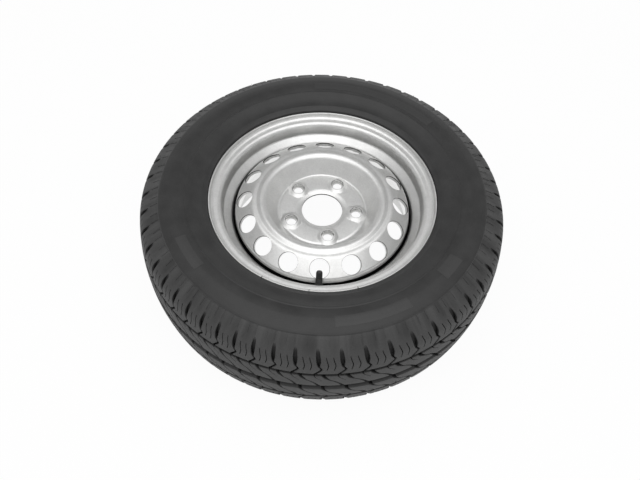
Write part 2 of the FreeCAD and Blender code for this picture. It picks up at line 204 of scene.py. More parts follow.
class Bench:
    """Modelling tools, each used with everything else put aside."""

    @staticmethod
    def clear() -> None:
        """Leave edit mode and deselect everything."""
        if bpy.context.mode != "OBJECT":
            bpy.ops.object.mode_set(mode="OBJECT")
        bpy.ops.object.select_all(action="DESELECT")

    @classmethod
    def pick(cls, *pieces: bpy.types.Object) -> None:
        """Select these pieces alone, the first one active."""
        cls.clear()
        for piece in pieces:
            piece.select_set(True)
        bpy.context.view_layer.objects.active = pieces[0]

    @classmethod
    def edit(cls, piece: bpy.types.Object) -> None:
        """Open a piece in edit mode with all of it selected."""
        cls.pick(piece)
        bpy.ops.object.mode_set(mode="EDIT")
        bpy.ops.mesh.select_all(action="SELECT")

    @classmethod
    def start(cls, name: str, primitive: Callable[..., Any], **options: Any) -> bpy.types.Object:
        """Add a primitive with everything else put aside, and name it."""
        cls.clear()
        primitive(**options)
        piece = bpy.context.object
        piece.name = piece.data.name = name
        return piece

    @staticmethod
    def places(piece: bpy.types.Object) -> np.ndarray:
        """Give a mesh's vertices as rows of a table."""
        table = np.empty(len(piece.data.vertices) * 3)
        piece.data.vertices.foreach_get("co", table)
        return table.reshape(-1, 3)

    @staticmethod
    def put(piece: bpy.types.Object, table: np.ndarray) -> None:
        """Move a mesh's vertices to the rows of a table."""
        piece.data.vertices.foreach_set("co", np.ascontiguousarray(table, dtype=np.float32).ravel())
        piece.data.update()

    @classmethod
    def settle(cls, piece: bpy.types.Object, weld: float = WELD) -> None:
        """Merge a piece's doubled vertices and point its faces outwards."""
        cls.edit(piece)
        bpy.ops.mesh.remove_doubles(threshold=weld)
        bpy.ops.mesh.normals_make_consistent(inside=False)
        cls.clear()

    @classmethod
    def lathe(cls, name: str, section: Sequence[Point], steps: int) -> bpy.types.Object:
        """Spin a closed section about the axis.

        Args:
            name: The piece's name.
            section: Radius and height of each corner, in millimetres.
            steps: Steps in the full turn.

        Returns:
            The closed ring.
        """
        piece = cls.start(name, bpy.ops.mesh.primitive_circle_add, vertices=len(section), radius=1)
        cls.put(piece, np.array([(radius * MM, 0, height * MM) for radius, height in section]))
        cls.edit(piece)
        bpy.ops.mesh.spin(steps=steps, angle=math.tau, center=(0, 0, 0), axis=(0, 0, 1))
        cls.settle(piece, WELD / 10)
        cls.edit(piece)
        bpy.ops.mesh.delete_loose(use_verts=True, use_edges=True, use_faces=False)
        cls.clear()
        return piece

    @classmethod
    def ribbon(cls, name: str, stations: Sequence[Row], top: float, ease: float = 0.0,
               taper: float = 1.0) -> bpy.types.Object:
        """Make a strip along Y with its own width and depth at each station.

        Args:
            name: The piece's name.
            stations: Place along Y, middle along X, width and depth below zero, in order.
            top: Height of the strip's upper face.
            ease: How far the strip flares at zero, for a cutter that leaves eased edges.
            taper: Width of the strip's floor as a share of its width.

        Returns:
            The closed strip.
        """
        last = len(stations) - 1
        piece = cls.start(
            name, bpy.ops.mesh.primitive_grid_add, x_subdivisions=1, y_subdivisions=last, size=2)
        cls.edit(piece)
        for _ in range(2 if ease else 1):
            bpy.ops.mesh.extrude_region_move(TRANSFORM_OT_translate={"value": (0, 0, -1)})
        cls.clear()
        table = cls.places(piece)
        rows = np.rint((table[:, 1] + 1) / 2 * last).astype(int)
        along, middle, width, depth = np.array(stations).T[:, rows]
        rim = np.minimum(ease, depth * EASE_SHARE)
        level = np.rint(-table[:, 2]).astype(int)
        floor = level == level.max()
        flare = np.where((level == 0) & (ease > 0), rim + top, 0.0)
        half = np.where(floor, width * taper, width) / 2 + flare
        table[:, 0] = middle + np.sign(table[:, 0]) * half
        table[:, 1] = along
        table[:, 2] = np.where(floor, -depth, np.where(level == 0, top, -rim))
        cls.put(piece, table)
        cls.edit(piece)
        bpy.ops.mesh.normals_make_consistent(inside=False)
        cls.clear()
        return piece

    @classmethod
    def join(cls, pieces: Sequence[bpy.types.Object]) -> bpy.types.Object:
        """Join pieces into the first one."""
        cls.pick(*pieces)
        if len(pieces) > 1:
            bpy.ops.object.join()
        return pieces[0]

    @classmethod
    def copies(cls, piece: bpy.types.Object, turns: Sequence[float]) -> bpy.types.Object:
        """Copy a piece round the wheel's axis and join the copies.

        Args:
            piece: The one that is modelled, at angle zero. It is used up.
            turns: Angle of each copy.

        Returns:
            One piece with all the copies.
        """
        made = []
        for turn in turns:
            cls.pick(piece)
            bpy.ops.object.duplicate()
            copy = bpy.context.object
            copy.data.transform(Matrix.Rotation(math.radians(turn), 4, "Z"))
            made.append(copy)
        name = piece.name
        bpy.data.objects.remove(piece)
        joined = cls.join(made)
        joined.name = joined.data.name = name
        return joined

    @classmethod
    def work(cls, piece: bpy.types.Object, tool: bpy.types.Object, cut: Cut) -> None:
        """Cut a tool away from a piece, or join it on, and use the tool up."""
        cls.pick(piece)
        modifier = piece.modifiers.new("work", "BOOLEAN")
        modifier.operation = cut.value
        modifier.solver = "EXACT"
        modifier.object = tool
        bpy.ops.object.modifier_apply(modifier=modifier.name)
        bpy.data.objects.remove(tool)

    @classmethod
    def slice(cls, piece: bpy.types.Object, axis: int, places: Sequence[float]) -> None:
        """Divide a piece's faces by planes across an axis."""
        cls.edit(piece)
        normal = [0.0, 0.0, 0.0]
        normal[axis] = 1.0
        for place in places:
            bpy.ops.mesh.select_all(action="SELECT")
            bpy.ops.mesh.bisect(plane_co=[place * share for share in normal], plane_no=normal)
        cls.clear()

    @classmethod
    def drop_faces(cls, piece: bpy.types.Object, goes: Callable[[np.ndarray], np.ndarray]) -> None:
        """Delete the faces whose corners all pass a test on their places."""
        passing = goes(cls.places(piece))
        cls.edit(piece)
        bpy.ops.mesh.select_mode(type="FACE")
        bpy.ops.mesh.select_all(action="DESELECT")
        bpy.ops.object.mode_set(mode="OBJECT")
        for face in piece.data.polygons:
            face.select = bool(passing[list(face.vertices)].all())
        bpy.ops.object.mode_set(mode="EDIT")
        bpy.ops.mesh.delete(type="FACE")
        cls.clear()

    @staticmethod
    def layer(piece: bpy.types.Object, name: str, marked: np.ndarray) -> None:
        """Keep, for a finish, which faces have every corner marked."""
        layer = piece.data.attributes.new(name, "FLOAT", "FACE")
        values = [float(marked[list(face.vertices)].all()) for face in piece.data.polygons]
        layer.data.foreach_set("value", values)

    @staticmethod
    def shade(piece: bpy.types.Object, name: str, share: np.ndarray) -> None:
        """Keep, for a finish, a share at each vertex."""
        layer = piece.data.attributes.new(name, "FLOAT", "POINT")
        layer.data.foreach_set("value", np.clip(share, 0, 1))

    @staticmethod
    def coat(node: str, material: bpy.types.Material) -> None:
        """Give a finish to a CAD node that stays in view."""
        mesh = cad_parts[node].data
        mesh.materials.clear()
        mesh.materials.append(material)
        LOG.info("%s: %s", node, material.name)

    @classmethod
    def finish(cls, piece: bpy.types.Object, material: bpy.types.Material, body: str, slot: str,
               nodes: Sequence[str], smooth: float = 35.0) -> None:
        """Shade, dress and mount a finished piece.

        Args:
            piece: The piece, in its place.
            material: Its finish.
            body: The CAD body that carries it.
            slot: The record's material slot; not used.
            nodes: The CAD nodes that it stands for.
            smooth: Widest angle between faces that shade as one.
        """
        cls.pick(piece)
        bpy.ops.object.shade_smooth_by_angle(angle=math.radians(smooth))
        piece.data.materials.clear()
        piece.data.materials.append(material)
        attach(piece, body)
        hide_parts(*nodes)
        cls.clear()
        LOG.info("%s: %d faces, on %s", piece.name, len(piece.data.polygons), body)


class Shading:
    """A material's nodes, with sizes in millimetres and colours in hex."""

    def __init__(self, name: str) -> None:
        """Start a material.

        Args:
            name: The real material and how it is worked.
        """
        self.material = bpy.data.materials.new(name)
        self.material.use_nodes = True
        self.tree = self.material.node_tree
        self.place = add_node(self.tree, "ShaderNodeTexCoord").outputs["Object"]

    def noise(self, size: float, detail: float, roughness: float = 0.5) -> Socket:
        """Noise in space, with features of this size."""
        return add_node(self.tree, "ShaderNodeTexNoise", {
            "Vector": self.place, "Scale": 1 / (size * MM), "Detail": detail,
            "Roughness": roughness}).outputs["Fac"]

    def streaks(self, along: Socket, scale: float, detail: float) -> Socket:
        """Noise along one measure."""
        return add_node(self.tree, "ShaderNodeTexNoise", {
            "W": along, "Scale": scale, "Detail": detail}, noise_dimensions="1D").outputs["Fac"]

    def layer(self, name: str) -> Socket:
        """A share that the mesh keeps under a name."""
        return add_node(self.tree, "ShaderNodeAttribute", attribute_name=name).outputs["Fac"]

    def spread(self, value: Socket, span: Point = (0.0, 1.0), to: Point = (0.0, 1.0),
               curve: str = "LINEAR") -> Socket:
        """Map a span of values to another one, and stay within it."""
        return add_node(self.tree, "ShaderNodeMapRange", {
            "Value": value, "From Min": span[0], "From Max": span[1], "To Min": to[0], "To Max": to[1]},
            interpolation_type=curve).outputs[0]

    def blend(self, share: Socket | float, first: Socket | str, second: Socket | str,
              how: str = "MIX") -> Socket:
        """Mix two colours by a share of the second."""
        pair = [srgb(colour) if isinstance(colour, str) else colour for colour in (first, second)]
        return add_node(self.tree, "ShaderNodeMix", {"Factor": share, 6: pair[0], 7: pair[1]},
                        data_type="RGBA", blend_type=how).outputs[2]

    def maths(self, operation: str, first: Socket, second: Socket | float) -> Socket:
        """Work out a value from two others."""
        return add_node(self.tree, "ShaderNodeMath", {0: first, 1: second}, operation=operation).outputs[0]

    def bump(self, height: Socket, strength: float, depth: float, under: Socket | None = None) -> Socket:
        """Raise fine relief of a depth in millimetres, over other relief where it is given."""
        inputs = {"Height": height, "Strength": strength, "Distance": depth * MM}
        return add_node(self.tree, "ShaderNodeBump", inputs | ({"Normal": under} if under else {})).outputs[0]

    def finish(self, colour: Socket, roughness: Socket, normal: Socket,
               constants: dict[str, float]) -> bpy.types.Material:
        """Link what varies to the shader and set what doesn't.

        Args:
            colour: Base colour.
            roughness: Roughness.
            normal: Relief.
            constants: Values of other inputs, by name.

        Returns:
            The finished material.
        """
        shader = self.tree.nodes["Principled BSDF"]
        for name, socket in (("Base Color", colour), ("Roughness", roughness), ("Normal", normal)):
            self.tree.links.new(socket, shader.inputs[name])
        for name, value in constants.items():
            shader.inputs[name].default_value = value
        return self.material


@dataclass(frozen=True)
class TyreRubber:
    """Carbon-black rubber, moulded: soft grey sheen, fine mould grain and faint turned rings."""

    name: str = "tyre rubber, moulded"
    side: str = "252525"
    side_worn: str = "2e2e2e"
    shoulder: str = "2d2d2d"
    shoulder_rubbed: str = "404040"
    tread: str = "3e3e3e"
    panel: str = "323232"
    # Painted shade: the colour at the floor of the grooves
    groove: str = "0b0b0b"
    depth_layer: str = "groove_depth"
    panel_layer: str = "plain_panel"
    blotch_mm: float = 30.0
    grain_mm: float = 1.1
    turning_mm: float = 3.0
    smear_mm: float = 22.0
    smear_radius_mm: float = 262.0
    # Radii, in metres, over which one look passes into the next
    to_shoulder: Point = (0.255, 0.259)
    to_dull: Point = (0.252, 0.268)
    to_tread: Point = (0.272, 0.288)

    def material(self) -> bpy.types.Material:
        """Build the material's nodes."""
        look = Shading(self.name)
        flat = add_node(
            look.tree, "ShaderNodeVectorMath", {0: look.place, 1: (1, 1, 0)}, operation="MULTIPLY")
        radius = add_node(
            look.tree, "ShaderNodeVectorMath", {0: flat.outputs[0]}, operation="LENGTH").outputs["Value"]
        blotch, grain = look.noise(self.blotch_mm, 4.0, 0.6), look.noise(self.grain_mm, 2.0)
        turning = look.streaks(radius, 1 / (self.turning_mm * MM), 2.0)
        wall = look.blend(look.spread(blotch, (0.35, 0.7)), self.side, self.side_worn)
        side = look.blend(look.layer(self.panel_layer), wall, self.panel)
        # Handling leaves radial smears on the shoulder; their seam lies on the far side
        spot = add_node(look.tree, "ShaderNodeSeparateXYZ", {0: look.place})
        around = look.maths("ARCTAN2", spot.outputs["X"], look.maths("MULTIPLY", spot.outputs["Y"], -1.0))
        smear = look.streaks(around, self.smear_radius_mm / self.smear_mm, 3.0)
        rubbed = look.blend(look.spread(smear, (0.35, 0.65)), self.shoulder, self.shoulder_rubbed)
        upper = look.blend(look.spread(radius, self.to_shoulder, curve="SMOOTHSTEP"), side, rubbed)
        colour = look.blend(look.spread(radius, self.to_tread, curve="SMOOTHSTEP"), upper, self.tread)
        # Painted shade: the grooves darken with their depth towards the groove colour, standing in for the
        # shade inside them
        depth_shaded = look.blend(look.layer(self.depth_layer), colour, self.groove)
        shaded = look.blend(1.0, depth_shaded, look.spread(grain, (0.3, 0.7), (0.88, 1.12)), "MULTIPLY")
        sheen = look.spread(blotch, (0.3, 0.7), (0.38, 0.46))
        rough = look.maths("ADD", sheen, look.spread(radius, self.to_dull, (0.0, 0.2)))
        relief = look.bump(grain, 0.25, 0.4, look.bump(turning, 0.12, 0.6))
        return look.finish(shaded, rough, relief, {"IOR": 1.47, "Specular IOR Level": 0.4})


@dataclass(frozen=True)
class SilverPaint:
    """Silver enamel with metal flake, sprayed on steel: satin, grainy, faintly mottled."""

    name: str = "silver wheel enamel, sprayed"
    light: str = "dadad9"
    dark: str = "d1d1d0"
    # Dark colour: painted shade in the crevice and the bore, and the darkened edges of the vents and bolt
    # seats
    edge_and_shade_dark: str = "242424"
    # Lighter colour of the bolt seats, and painted light on the band's underside
    seat: str = "e6e6e5"
    mottle_mm: float = 14.0
    # Real flake is under 0.1 mm and would vanish in the render, so it is drawn coarser
    flake_mm: float = 0.7
    peel_mm: float = 2.5
    darkened_layer: str = "dark_edges_and_shade"
    lightened_layer: str = "lightened_seats_and_underside"

    def material(self) -> bpy.types.Material:
        """Build the material's nodes."""
        look = Shading(self.name)
        flake = add_node(look.tree, "ShaderNodeTexVoronoi", {
            "Vector": look.place, "Scale": 1 / (self.flake_mm * MM)})
        glint = add_node(look.tree, "ShaderNodeSeparateColor", {0: flake.outputs["Color"]}).outputs
        mottle = look.spread(look.noise(self.mottle_mm, 5.0, 0.65), (0.32, 0.68))
        coat = look.blend(mottle, self.dark, self.light)
        flaked = look.blend(1.0, coat, look.spread(glint[0], to=(0.92, 1.07)), "MULTIPLY")
        # Painted shade: the crevice behind the disc's bend and the bore's wall are darkened; the edges of the
        # vents and of the bolt seats' mouths are darkened too
        darkened = look.blend(look.layer(self.darkened_layer), flaked, self.edge_and_shade_dark)
        # Bolt seats are lighter and smoother; the band's underside, seen through the vents, is lighter and
        # smoother as painted light from the floor below
        lightened = look.layer(self.lightened_layer)
        colour = look.blend(lightened, darkened, self.seat)
        satin = look.spread(glint[1], to=(0.36, 0.46))
        rough = look.maths("MULTIPLY", satin, look.spread(lightened, to=(1.0, 0.35)))
        relief = look.bump(look.noise(self.peel_mm, 2.0), 0.12, 0.4)
        return look.finish(colour, rough, relief, {"Metallic": 1.0})


@dataclass(frozen=True)
class PlainFinish:
    """A small piece's finish: one colour that varies a little, with a fine grain."""

    name: str
    light: str
    dark: str
    grain_mm: float
    roughness: Point
    metallic: float = 0.0
    bump: float = 0.15

    def material(self) -> bpy.types.Material:
        """Build the material's nodes."""
        look = Shading(self.name)
        grain = look.noise(self.grain_mm, 3.0)
        colour = look.blend(look.spread(grain, (0.3, 0.7)), self.dark, self.light)
        rough = look.spread(grain, (0.3, 0.7), self.roughness)
        return look.finish(colour, rough, look.bump(grain, self.bump, 0.2), {"Metallic": self.metallic})


# Butyl rubber, moulded: near black and dull
VALVE_RUBBER = PlainFinish("butyl valve rubber, moulded", "2b2b2b", "1c1c1c", 2.0, (0.5, 0.65))
# Polypropylene, moulded: black with a soft shine on its ribs
CAP_PLASTIC = PlainFinish("polypropylene cap, moulded", "242424", "191919", 1.2, (0.36, 0.46))
# Brass, turned: warm yellow with fine tool marks
STEM_BRASS = PlainFinish("valve brass, turned", "d9b665", "b8924a", 0.4, (0.25, 0.4), 1.0)
# Nitrile rubber, moulded: dull black
SEAL_RUBBER = PlainFinish("nitrile seal rubber, moulded", "262626", "1a1a1a", 1.0, (0.55, 0.7))
# Spring steel, drawn: grey with a lengthwise shine
SPRING_WIRE = PlainFinish("spring steel, drawn wire", "b5b5b5", "8f8f8f", 0.3, (0.28, 0.4), 1.0)


@dataclass
class Tyre:
    """The tyre: one pitch of its section and tread is modelled, copied and wrapped round the wheel."""

    radius: float = 295.0
    half_tread: float = 70.0
    crown_drop: float = 8.0
    crown_heights: tuple[float, ...] = (0.0, 14.0, 28.0, 42.0, 56.0)
    half_section: float = 94.0
    shoulder_round: float = 22.0
    side_round: float = 51.5
    bead_radius: float = 185.0
    sweep: float = 11.0
    pitches: int = 56
    pitch_swing: float = 2.4
    pitch_waves: int = 3
    pitch_phase: float = -89.0
    pitch_shift: float = 0.355
    slab: float = 12.0
    clear: float = 5.0
    ease: float = 0.7
    columns: int = 4
    tread_end_radius: float = 262.0
    # Least distance of the outline's own points from the tread's end, before it and beyond it
    tread_gap: float = 0.5
    wall_gap: float = 0.3
    # Radius, inner foot, outer foot and height of each moulded ring
    rings: tuple[Row, ...] = (
        (191.0, 1.2, 1.2, 0.45), (215.5, 9.0, 1.9, 1.1), (255.5, 10.0, 2.0, 1.1))
    ring_flat: float = 0.5
    wall_height: float = 78.0
    wall_foot: float = 182.7
    # Middle, width and depth of each groove round the tread
    grooves: tuple[Corner, ...] = ((-38.0, 5.5, 7.5), (0.0, 13.0, 8.0), (38.0, 5.5, 7.5))
    groove_reach: tuple[int, int] = (-2, 4)
    groove_taper: float = 0.72
    slot_end_radius: float = 272.0
    slot_fade: float = 5.0
    sipe_places: Point = (0.33, 0.63)
    # Places round, in pitches, that the half turn to the inboard side keeps
    slot_turn: float = 2.30
    rib_turn: float = 2.27
    # Depth, in millimetres, over which the grooves' painted shade comes to full strength
    groove_shade_depth: float = 1.5
    line_radii: Point = (258.0, 270.0)
    line_places: Point = (-0.13, 0.45)
    line_width: float = 1.0
    line_height: float = 0.5
    line_foot: float = 0.4
    line_rows: int = 4
    # First and last pitch, and inner and outer radius, of each plain panel
    panels: tuple[Row, ...] = (
        (0.75, 4.5, 230.0, 246.0), (6.8, 8.2, 224.0, 244.0), (20.0, 28.0, 222.0, 236.0),
        (45.4, 47.8, 226.0, 242.0))
    panel_height: float = 0.25
    panel_foot: float = 0.5
    panel_rows: int = 7
    whisker_seed: int = 13
    whisker_count: int = 44
    whisker_scatter: float = 0.6
    whisker_radii: tuple[float, ...] = (276.0, 283.0, 262.0)
    whisker_sides: int = 6
    whisker_ends: Point = (0.5, 0.25)
    whisker_length: Point = (1.4, 3.4)
    whisker_root: float = 1.0
    whisker_lean: float = 0.3
    lip_whisker_ends: Point = (0.7, 0.4)
    lip_whisker_length: float = 5.0
    lip_whisker_angles: tuple[float, ...] = (-116.9, -94.3, -72.1)
    lip_whisker_place: Point = (183.8, 80.0)
    lip_whisker_lean: float = -68.0
    path: np.ndarray = field(init=False)
    reach: np.ndarray = field(init=False)
    normals: np.ndarray = field(init=False)

    def __post_init__(self) -> None:
        """Draw the outboard half of the section and measure along it."""
        self.path = np.array(self.half_outline())
        steps = np.linalg.norm(np.diff(self.path, axis=0), axis=1)
        self.reach = np.concatenate([[0.0], np.cumsum(steps)])
        self.normals = -left_normals(self.path)[0]

    @property
    def pitch(self) -> float:
        """Length of an even pitch along the crown."""
        return math.tau * self.radius / self.pitches

    def crown(self, height: float) -> float:
        """Radius of the tread at a height."""
        arc = (self.half_tread ** 2 + self.crown_drop ** 2) / (2 * self.crown_drop)
        return self.radius - arc + math.sqrt(arc ** 2 - height ** 2)

    def half_outline(self) -> list[Point]:
        """Outline from the middle of the crown, over the outboard side and bead, to the inner liner."""
        crown = [(self.crown(height), height, 0.0) for height in self.crown_heights]
        edge = (self.crown(self.half_tread), self.half_tread, self.shoulder_round)
        corners = crown + [
            edge,
            (249.1, self.half_section, self.side_round),
            (223.1, self.half_section, self.side_round),
            (182.6, 78.6, 2.0),
            (182.3, 73.0, 0.0),
            (182.3, 63.2, 9.8),
            (165.0, 63.2, 4.7),
            (163.6, 46.2, 2.0),
            (190.0, 62.0, 30.0),
            (236.0, 86.5, 60.0),
            (279.0, 58.0, 25.0),
            (281.0, 0.0, 0.0),
        ]
        return self.ridged(rounded(corners, self.sweep))

    def ridged(self, outline: list[Point]) -> list[Point]:
        """Raise the moulded rings of the sidewall on an outline.

        Args:
            outline: Points from the crown, over the sidewall, to the inner liner.

        Returns:
            The outline with its rings, each rising slowly from the bead's side and falling sharply.
        """
        path = np.array(outline)
        normals = -left_normals(path)[0]
        first = int(np.argmax(path[:, 1] > self.wall_height))
        last = int(np.argmax(path[:, 0] < self.wall_foot))
        wall = slice(first, last)
        flat = self.ring_flat
        feet = [(ring - inner, ring - flat, ring + flat, ring + outer)
                for ring, inner, outer, _ in self.rings]
        edges = {radius for foot in feet for radius in foot}
        radii = np.array(sorted({*path[wall, 0], *edges}, reverse=True))
        columns = [np.interp(-radii, -path[wall, 0], table[wall, axis])
                   for table in (path, normals) for axis in (0, 1)]
        lift = sum(np.interp(radii, foot, (0, ring[3], ring[3], 0)) for foot, ring in zip(feet, self.rings))
        raised = np.stack([columns[0] + columns[2] * lift, columns[1] + columns[3] * lift], axis=1)
        return [*outline[:first], *map(tuple, raised), *outline[last:]]

    def along(self, radius: float) -> float:
        """Distance along the outline at which the sidewall passes a radius."""
        first = len(self.crown_heights)
        last = int(np.argmax(self.path[:, 0] < self.bead_radius))
        return float(np.interp(-radius, -self.path[first:last, 0], self.reach[first:last]))

    def angle(self, turn: np.ndarray) -> np.ndarray:
        """Angle in radians of a place counted in pitches, which lengthen and shorten round the tyre."""
        even = math.tau * (turn + self.pitch_shift) / self.pitches
        swing = math.radians(self.pitch_swing) * np.cos(self.pitch_waves * even)
        return math.radians(self.pitch_phase) + even - swing

    def wrap(self, table: np.ndarray) -> np.ndarray:
        """Wrap flat places round the wheel.

        Args:
            table: Rows of distance round the tyre, along its outline, and above its skin.

        Returns:
            Rows of places in the CAD frame, in metres.
        """
        angle = self.angle(table[:, 0] / self.pitch)
        way = np.abs(table[:, 1])
        columns = [np.interp(way, self.reach, self.path[:, axis]) for axis in (0, 1)]
        lifts = [np.interp(way, self.reach, self.normals[:, axis]) for axis in (0, 1)]
        radius = columns[0] + lifts[0] * table[:, 2]
        height = (columns[1] + lifts[1] * table[:, 2]) * np.where(table[:, 1] < 0, -1, 1)
        return np.stack([radius * np.cos(angle), radius * np.sin(angle), height], axis=1) * MM

    def strip(self, name: str, stations: Sequence[Row], side: Side = Side.OUTBOARD,
              shift: float = 0.0, ease: float = 0.0) -> bpy.types.Object:
        """Cutter or rib for one side of the tread.

        Args:
            name: The strip's name.
            stations: Distance from the crown, place round in pitches, width and depth.
            side: The outboard side, or the inboard one, where the strip is turned half round.
            shift: Place round, in pitches, that the half turn keeps.
            ease: How far the edges that a cutter leaves are eased.

        Returns:
            The strip, in flat millimetres.
        """
        rows = []
        for along, turn, width, depth in stations:
            place = turn if side is Side.OUTBOARD else shift - turn
            rows.append((along * side.value, place * self.pitch, width, depth))
        return Bench.ribbon(name, sorted(rows), self.clear, ease)

    def cutters(self) -> list[bpy.types.Object]:
        """Cutters for the tread: grooves round it, slots and sipes across it."""
        top = self.along(self.slot_end_radius)
        slot = [
            (36.0, -0.15, 4.6, 7.0), (42.0, -0.11, 4.4, 7.0), (47.0, 0.03, 4.2, 6.5), (51.5, 0.13, 3.2, 6.0),
            (54.5, 0.10, 2.6, 5.5), (58.0, 0.015, 2.8, 5.5), (62.0, 0.0, 4.2, 6.0), (67.0, -0.005, 6.0, 6.0),
            (73.0, -0.02, 6.4, 4.6), (top - self.slot_fade, -0.045, 5.0, 1.6), (top, -0.06, 3.0, 0.15)]
        sipe = [
            (50.5, 0.02, 1.2, 4.0), (55.0, 0.055, 1.3, 4.0), (61.0, 0.08, 1.3, 4.0), (66.0, 0.05, 1.3, 4.0),
            (70.0, 0.01, 1.2, 3.0), (75.0, -0.02, 1.1, 1.5)]
        diagonal = [
            (3.0, 1.10, 5.6, 7.0), (7.0, 1.03, 5.0, 7.0), (11.0, 0.95, 3.4, 6.5), (15.0, 0.86, 2.6, 6.0),
            (20.0, 0.70, 2.2, 6.0), (25.0, 0.46, 3.0, 6.0), (29.0, 0.34, 5.4, 7.0), (34.0, 0.24, 5.6, 7.0),
            (38.0, 0.18, 5.6, 7.0)]
        hook = [
            (23.0, 0.16, 1.0, 4.0), (27.0, 0.02, 1.1, 4.5), (31.0, -0.10, 1.4, 5.0), (35.0, -0.17, 1.8, 5.5),
            (38.0, -0.20, 2.2, 6.0)]
        cutters = []
        for side, shoulder, rib in ((Side.OUTBOARD, 0.0, 0.0), (Side.INBOARD, self.slot_turn, self.rib_turn)):
            cutters.append(self.strip("slot", slot, side, shoulder, self.ease))
            for place in self.sipe_places:
                moved = [(along, turn + place, width, depth) for along, turn, width, depth in sipe]
                cutters.append(self.strip("sipe", moved, side, shoulder))
            cutters.append(self.strip("diagonal", diagonal, side, rib, self.ease))
            cutters.append(self.strip("hook", hook, side, rib))
        return cutters + [self.groove(*groove) for groove in self.grooves]

    def groove(self, middle: float, width: float, depth: float) -> bpy.types.Object:
        """Cutter for one groove round the tread, narrower at its floor."""
        ends = [(turn * self.pitch, middle, width, depth) for turn in self.groove_reach]
        cutter = Bench.ribbon("groove", ends, self.clear, self.ease, self.groove_taper)
        Bench.put(cutter, Bench.places(cutter)[:, [1, 0, 2]])
        Bench.settle(cutter)
        return cutter

    def seam(self) -> list[Point]:
        """Line between two pitches, clear of every cut: distance from the crown and place round."""
        end = self.along(self.tread_end_radius)
        return [
            (-end, 1.5), (-72.0, 1.51), (-66.0, 1.51), (-52.0, 1.52), (-47.0, 1.55), (-41.5, 1.63),
            (-34.5, 1.69), (-29.0, 1.60), (-25.0, 1.47), (-20.0, 1.12), (-15.0, 0.94), (-11.0, 0.82),
            (-7.0, 0.74), (7.0, 0.53), (11.0, 0.45), (15.0, 0.33), (20.0, 0.15), (25.0, -0.20), (29.0, -0.33),
            (34.5, -0.42), (41.5, -0.33), (47.0, -0.25), (52.0, -0.22), (66.0, -0.21), (72.0, -0.21),
            (end, -0.25)]

    def tread(self) -> bpy.types.Object:
        """One pitch of the tread and shoulders, flat, with every cut made."""
        seam = self.seam()
        stations = [(along, (turn + 0.5) * self.pitch, self.pitch, self.slab) for along, turn in seam]
        tread = Bench.ribbon("tyre", stations, 0.0)
        for cutter in self.cutters():
            Bench.work(tread, cutter, Cut.AWAY)
        end = seam[-1][0]
        rounds = self.reach[(self.reach > 0) & (self.reach < end - self.tread_gap)]
        Bench.slice(tread, 1, sorted({0.0, *rounds, *(-rounds)}))
        width = self.pitch / self.columns
        Bench.slice(tread, 0, [width * column for column in range(-self.columns, 3 * self.columns + 1)])
        lines = np.array(seam)

        def hidden(table: np.ndarray) -> np.ndarray:
            """Pick the slab's floor, ends and seams."""
            line = np.interp(table[:, 1], lines[:, 0], lines[:, 1]) * self.pitch
            return np.stack([
                table[:, 2] < TOUCH - self.slab,
                np.abs(np.abs(table[:, 1]) - end) < TOUCH,
                np.abs(table[:, 0] - line) < TOUCH,
                np.abs(table[:, 0] - line - self.pitch) < TOUCH], axis=1)

        for wall in range(4):
            Bench.drop_faces(tread, lambda table, wall=wall: hidden(table)[:, wall])
        # Painted shade: a share that rises with depth below the skin darkens the grooves
        depth = -Bench.places(tread)[:, 2]
        Bench.shade(tread, TyreRubber.depth_layer, (depth - self.ease / 2) / self.groove_shade_depth)
        return tread

    def wall(self, side: Side) -> bpy.types.Object:
        """One pitch of a sidewall, bead and half the liner, flat."""
        end = self.along(self.tread_end_radius)
        rows = np.concatenate([[end], self.reach[self.reach > end + self.wall_gap]])
        wall = Bench.start("wall", bpy.ops.mesh.primitive_grid_add, x_subdivisions=self.columns,
                           y_subdivisions=len(rows) - 1, size=2)
        table = Bench.places(wall)
        order = np.rint((table[:, 1] + 1) / 2 * (len(rows) - 1)).astype(int)
        start = self.seam()[-1 if side is Side.OUTBOARD else 0][1]
        table[:, 0] = (start + (table[:, 0] + 1) / 2) * self.pitch
        table[:, 1] = rows[order] * side.value
        Bench.put(wall, table)
        return wall

    def lines(self) -> list[bpy.types.Object]:
        """Fine raised lines of one pitch between the upper ring and the shoulder, on both sides."""
        foot, head = map(self.along, self.line_radii)
        made = []
        for side in Side:
            for place in self.line_places:
                rows = [(along, place, self.line_width, self.line_foot)
                        for along in np.linspace(foot, head, self.line_rows)]
                line = self.strip("line", rows, side)
                table = Bench.places(line)
                table[:, 2] = np.minimum(table[:, 2], self.line_height)
                Bench.put(line, table)
                made.append(line)
        return made

    def panel(self, first: float, last: float, inner: float, outer: float, side: Side) -> bpy.types.Object:
        """Plain raised panel on a sidewall.

        Args:
            first: Place round, in pitches, of one end.
            last: Place round of the other end.
            inner: Radius of its lower edge.
            outer: Radius of its upper edge.
            side: The sidewall.

        Returns:
            The panel, wrapped.
        """
        rows = np.linspace(self.along(outer), self.along(inner), self.panel_rows)
        width = (last - first) * self.pitch
        middle = (first + last) / 2
        stations = [(along, middle, width, self.panel_foot) for along in rows]
        panel = self.strip("panel", stations, side, 2 * middle)
        table = Bench.places(panel)
        table[:, 2] = np.minimum(table[:, 2], self.panel_height)
        Bench.put(panel, table)
        step = self.pitch / self.columns
        low, high = table[:, 0].min(), table[:, 0].max()
        Bench.slice(panel, 0, list(np.arange(low + step, high - step / 2, step)))
        Bench.put(panel, self.wrap(Bench.places(panel)))
        Bench.shade(panel, TyreRubber.panel_layer, np.ones(len(panel.data.vertices)))
        return panel

    def whisker(self, ends: Point, length: float) -> bpy.types.Object:
        """One whisker along Z, about its own middle, in flat millimetres."""
        return Bench.start("whisker", bpy.ops.mesh.primitive_cone_add, vertices=self.whisker_sides,
                           radius1=ends[0], radius2=ends[1], depth=length)

